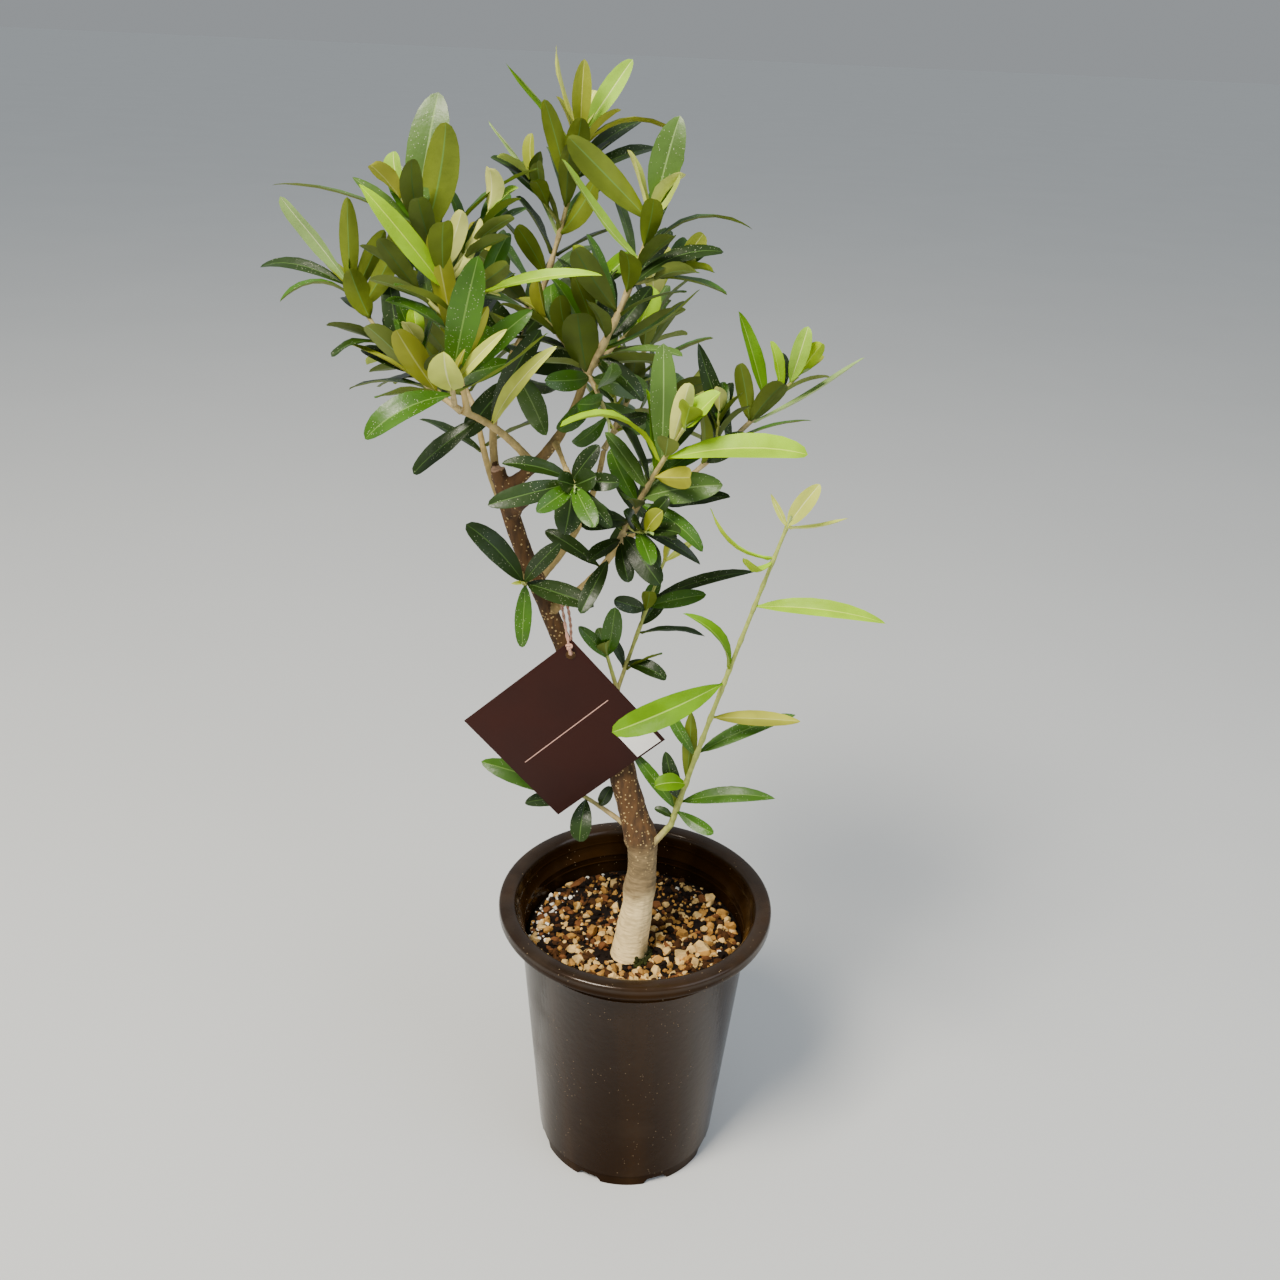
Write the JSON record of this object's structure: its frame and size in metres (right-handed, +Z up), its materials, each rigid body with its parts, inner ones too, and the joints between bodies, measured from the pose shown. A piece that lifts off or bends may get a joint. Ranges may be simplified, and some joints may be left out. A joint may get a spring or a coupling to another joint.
{
  "type": "potted olive tree",
  "caption": "Young olive tree with a leaning, forked trunk and open leafy crown in a round plastic nursery pot, with a blank square tag tied on a cord.",
  "frame": {"origin": "centre of the pot's flat underside, on the surface the pot stands on", "axes": "+Z up along the pot's axis, +X to the right and +Y away from the viewer in the front view"},
  "size_m": [0.3412, 0.21, 0.7071],
  "materials": {
    "pot": "glossy dark brown, dusty",
    "soil": "rough, granular",
    "bark": "rough grey-brown bark",
    "foliage": "leathery, satin",
    "tag": "smooth matt card",
    "cord": "twisted cord"
  },
  "bodies": {
    "root": {"pot": "pot", "soil": "soil", "trunk": "bark", "bough_centre": "bark", "bough_left": "bark", "bough_upper_left": "bark", "bough_top": "bark", "bough_front": "bark", "bough_right": "bark", "bough_far_right": "bark", "bough_back_left": "bark", "bough_back_right": "bark", "foliage_leader": "foliage", "foliage_top": "foliage", "foliage_upper_left": "foliage", "foliage_left": "foliage", "foliage_front": "foliage", "foliage_right": "foliage", "foliage_far_right": "foliage", "foliage_middle": "foliage", "foliage_water_shoot": "foliage", "foliage_low_left": "foliage", "foliage_base_left": "foliage", "foliage_back_left": "foliage", "foliage_back_right": "foliage", "tag_card": "tag", "tag_cord": "cord"}
  },
  "joints": []
}
